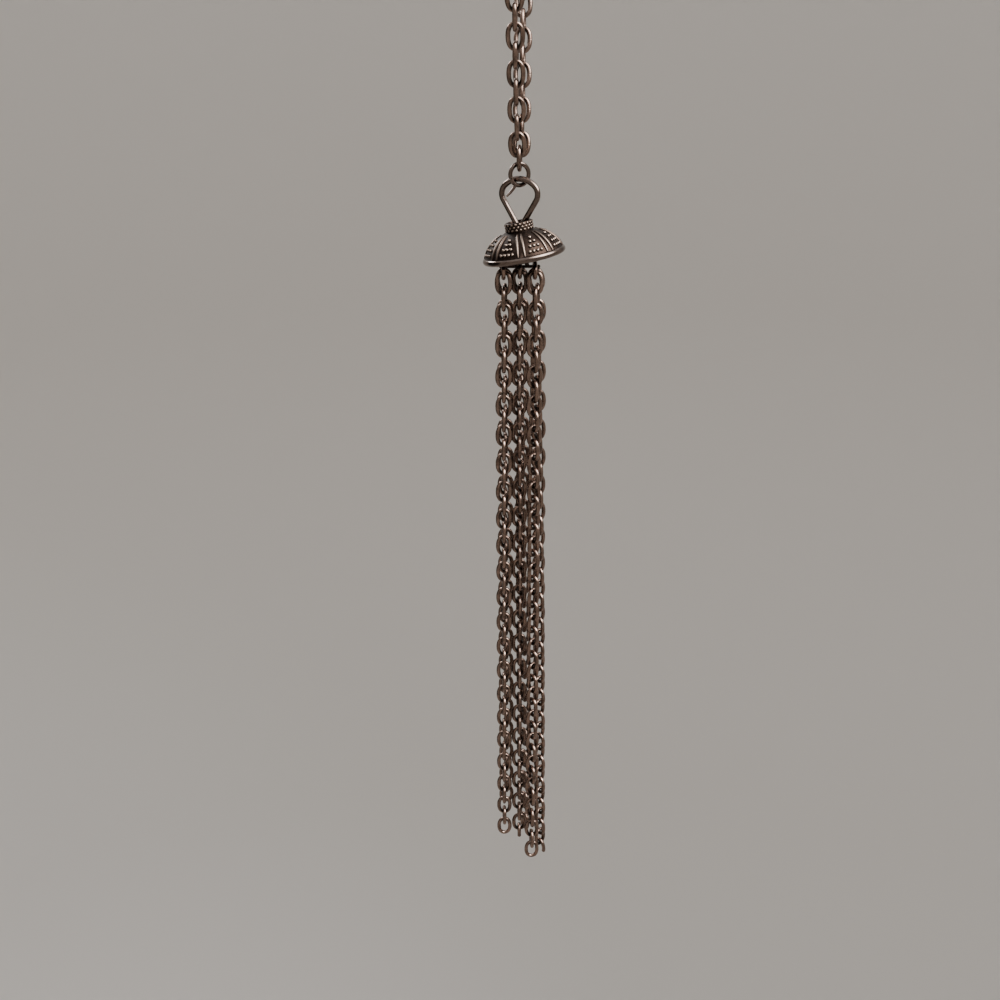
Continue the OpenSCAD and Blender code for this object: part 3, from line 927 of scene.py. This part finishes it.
class NECKLACE_OT_cap(bpy.types.Operator):
    """Tilted bead cap with its rim, collar, ribs and grains"""
    bl_idname = "necklace.cap"
    bl_label = "Cap"

    def execute(self, context):
        cap = sizes("cap")
        shape = Shape()
        rim_r = cap.rim_d / 2
        shape.add(turned(circle((cap.cap_d / 2 - rim_r, rim_r), rim_r, 20), 120),
                  cap_matrix())
        shape.piece("cap_rim", "Wire Silver", "drop", "cap_metal", "cap")
        shape = Shape()
        self.add_body(shape)
        self.add_ribs_and_fields(shape)
        self.add_collar_grains(shape)
        shape.piece("granulated_cap", "Cap Silver", "drop", "cap_metal", "cap")
        return {"FINISHED"}

    def add_body(self, shape):
        """The dome, and the collar with its recess and the plate inside."""
        cap = sizes("cap")
        mid, radius, low, high = dome_arc()
        start, span = low - DOME_OVERLAP, high - low + DOME_OVERLAP
        outer = arc(mid, radius, start, span, 24)
        inner = arc(mid, radius - cap.wall, high, -span, 24)
        shape.add(turned(np.vstack([outer, inner]), 120), cap_matrix())
        plate, top, r = plate_height(), cap.dome_h + cap.collar_h, cap.collar_d / 2
        foot, soft = plate - cap.collar_foot, cap.collar_soft
        collar = [(cap.hole_r, foot), (r, foot), (r, top - soft), (r - soft, top),
                  (cap.recess_r + soft / 2, top), (cap.recess_r, top - soft),
                  (cap.recess_r, plate), (cap.hole_r, plate)]
        shape.add(turned(collar, 96), cap_matrix())

    def add_ribs_and_fields(self, shape):
        """Ribs that follow the dome in pairs, and a field of grains between them."""
        cap, place = sizes("cap"), cap_matrix()
        mid, radius, low = dome_arc()[:3]
        taper = np.sin(np.linspace(RIB_END, math.pi - RIB_END, 20)) ** RIB_POWER
        rib = wire(arc(mid, radius, low, cap.rib_top - low, 20), 1, cap.rib_d, 12,
                   scale=taper)
        grain = ball(cap.grain_d)
        step = FULL_TURN / cap.rib_groups
        for group in range(cap.rib_groups):
            middle = cap.rib_start + group * step
            for lean in (-cap.rib_spread, cap.rib_spread):
                shape.add(rib, place @ spin(middle + lean))
            for degrees, number in GRAIN_ROWS:
                r, z = arc(mid, radius, math.radians(degrees), 0, 1)[0]
                for i in range(number):
                    aside = (i - (number - 1) / 2) * cap.grain_step / r
                    shape.add(grain, place @ spin(middle + step / 2 + aside)
                              @ shift((r, 0, z)))

    def add_collar_grains(self, shape):
        """Rows of grains round the collar."""
        cap = sizes("cap")
        grain = ball(cap.collar_grain_d)
        for height, first in COLLAR_ROWS:
            spot = shift((cap.collar_d / 2 - cap.grain_sink, 0, cap.dome_h + height))
            for i in range(cap.collar_grains):
                turn = math.radians(first) + i * FULL_TURN / cap.collar_grains
                shape.add(grain, cap_matrix() @ spin(turn) @ spot)


class NECKLACE_OT_tassel(bpy.types.Operator):
    """Six chain strands, folded in pairs over three level links"""
    bl_idname = "necklace.tassel"
    bl_label = "Tassel"

    def execute(self, context):
        chain, tassel = sizes("chain"), sizes("tassel")
        template = oval_link(chain.link_length, chain.link_width)
        level = oval_link(tassel.level_l, tassel.level_w)
        facing = hung(tassel.turn)
        for number, strand in enumerate(STRANDS):
            shape = Shape()
            places = strand_places(strand)
            for i, place in enumerate(places):
                shape.add(template, facing @ wobbled(place, i, salt=11 + number))
            if strand.node in CUT_LINKS:
                turn = math.radians(CUT_LINKS[strand.node])
                below = places[-1] @ shift((0, 0, -pitch()))
                shape.add(cut_link(), facing @ below @ spin(turn))
            if strand.node in LEVEL_LINKS:
                spot = tassel_point(LEVEL_LINKS[strand.node], tassel.level_drop)
                shape.add(level, facing @ shift(spot) @ spin(QUARTER, "X")
                          @ spin(QUARTER, "Y"))
            shape.piece("tassel_chain_%d" % (number + 1), "Chain Silver", "drop",
                        "chain_metal", strand.node)
        return {"FINISHED"}


class NECKLACE_OT_stage(bpy.types.Operator):
    """Pale floor and wall, soft lights and the camera"""
    bl_idname = "necklace.stage"
    bl_label = "Stage"

    def execute(self, context):
        looks = sizes("stage")
        self.add_wall(looks)
        self.add_camera(looks)
        self.add_lights(looks)
        self.add_card(looks)
        return {"FINISHED"}

    def ways(self, azimuth):
        """The level way out from the plumb line at an azimuth, and the way along."""
        sin_a, cos_a = math.sin(azimuth), math.cos(azimuth)
        return Vector((sin_a, -cos_a, 0)), Vector((cos_a, sin_a, 0))

    def add_wall(self, looks):
        """A floor that curves up into a wall on every side of the view."""
        curve = arc((WALL_REACH - WALL_BEND, FLOOR_Z + WALL_BEND), WALL_BEND, -QUARTER,
                    QUARTER, 24)
        outline = np.vstack([(0.0, FLOOR_Z), curve, (WALL_REACH, WALL_TOP)])
        wall = solid("backdrop", *turned(outline, 128, False),
                     matt("Pale Wall", looks.wall))

    def add_camera(self, looks):
        """The camera at the photograph's angle."""
        out, along = self.ways(looks.azimuth)
        place = out * looks.distance + along * looks.side
        place.z = centre_height() + looks.height
        ahead = out * -math.cos(looks.pitch)
        ahead.z = -math.sin(looks.pitch)
        lens = bpy.data.cameras.new("camera")
        lens.sensor_width = 36
        lens.lens = 36
        lens.clip_start = 0.01
        camera = shown("camera", lens)
        camera.matrix_world = (shift(place)
                               @ ahead.to_track_quat("-Z", "Y").to_matrix().to_4x4()
                               @ spin(-looks.roll))
        bpy.context.scene.camera = camera

    def add_lights(self, looks):
        """A soft key from the upper right, a fill, and an even sky."""
        world = bpy.data.worlds.new("soft sky")
        bpy.context.scene.world = world
        world.use_nodes = True
        sky = world.node_tree.nodes["Background"]
        sky.inputs["Color"].default_value = (1, 1, 1, 1)
        sky.inputs["Strength"].default_value = looks.sky
        target = Vector((0, 0, centre_height() - TARGET_DROP))
        for lamp in LAMPS:
            light = bpy.data.lights.new(lamp.name, "AREA")
            light.shape = "RECTANGLE"
            light.size, light.size_y = lamp.wide, lamp.tall
            light.energy = getattr(looks, lamp.name)
            light.spread = getattr(looks, lamp.name + "_spread")
            obj = shown(lamp.name, light)
            out = self.ways(math.radians(lamp.azimuth))[0] * lamp.away
            obj.location = target + out + Vector((0, 0, lamp.height))
            way = target - obj.location
            obj.rotation_euler = way.to_track_quat("-Z", "Y").to_euler()
            obj.visible_camera = False

    def add_card(self, looks):
        """A black card on the left, which the metal mirrors as its dark edge."""
        out, along = self.ways(looks.azimuth + math.radians(CARD_TURN))
        middle = out * CARD_AWAY + Vector((0, 0, centre_height() - CARD_DROP))
        along, up = along * CARD_WIDE, Vector((0, 0, CARD_TALL))
        corners = [middle - along - up, middle + along - up, middle + along + up,
                   middle - along + up]
        card = solid("black_card", corners, [(0, 1, 2, 3)],
                     matt("Black Card", looks.card))
        card.visible_camera = False


class NECKLACE_PT_sidebar(bpy.types.Panel):
    """Lists the pieces, their sizes and their looks"""
    bl_idname = "NECKLACE_PT_sidebar"
    bl_label = "Tassel Necklace"
    bl_space_type = "VIEW_3D"
    bl_region_type = "UI"
    bl_category = "Necklace"

    def draw(self, context):
        for operator in OPERATORS:
            self.layout.operator(operator.bl_idname)
        for name in GROUPS:
            box = self.layout.box()
            box.label(text=name.capitalize())
            group = sizes(name)
            for key in GROUPS[name].__annotations__:
                box.prop(group, key)


OPERATORS = (NECKLACE_OT_stage, NECKLACE_OT_neck_chain, NECKLACE_OT_front_links,
             NECKLACE_OT_clasp, NECKLACE_OT_jump_ring, NECKLACE_OT_bail,
             NECKLACE_OT_cap, NECKLACE_OT_tassel)
CLASSES = tuple(GROUPS.values()) + OPERATORS + (NECKLACE_PT_sidebar,)


def register():
    for cls in CLASSES:
        bpy.utils.register_class(cls)
    for name, group in GROUPS.items():
        setattr(bpy.types.Scene, "necklace_" + name,
                bpy.props.PointerProperty(type=group))


def unregister():
    for name in GROUPS:
        delattr(bpy.types.Scene, "necklace_" + name)
    for cls in reversed(CLASSES):
        bpy.utils.unregister_class(cls)


def run(operator):
    """Calls an operator, and stops the script where it did not finish."""
    module, name = operator.bl_idname.split(".")
    if getattr(getattr(bpy.ops, module), name)() != {"FINISHED"}:
        raise RuntimeError(operator.bl_label + " was not made")


def main():
    register()
    for operator in OPERATORS:
        run(operator)


if __name__ == "__main__":
    main()
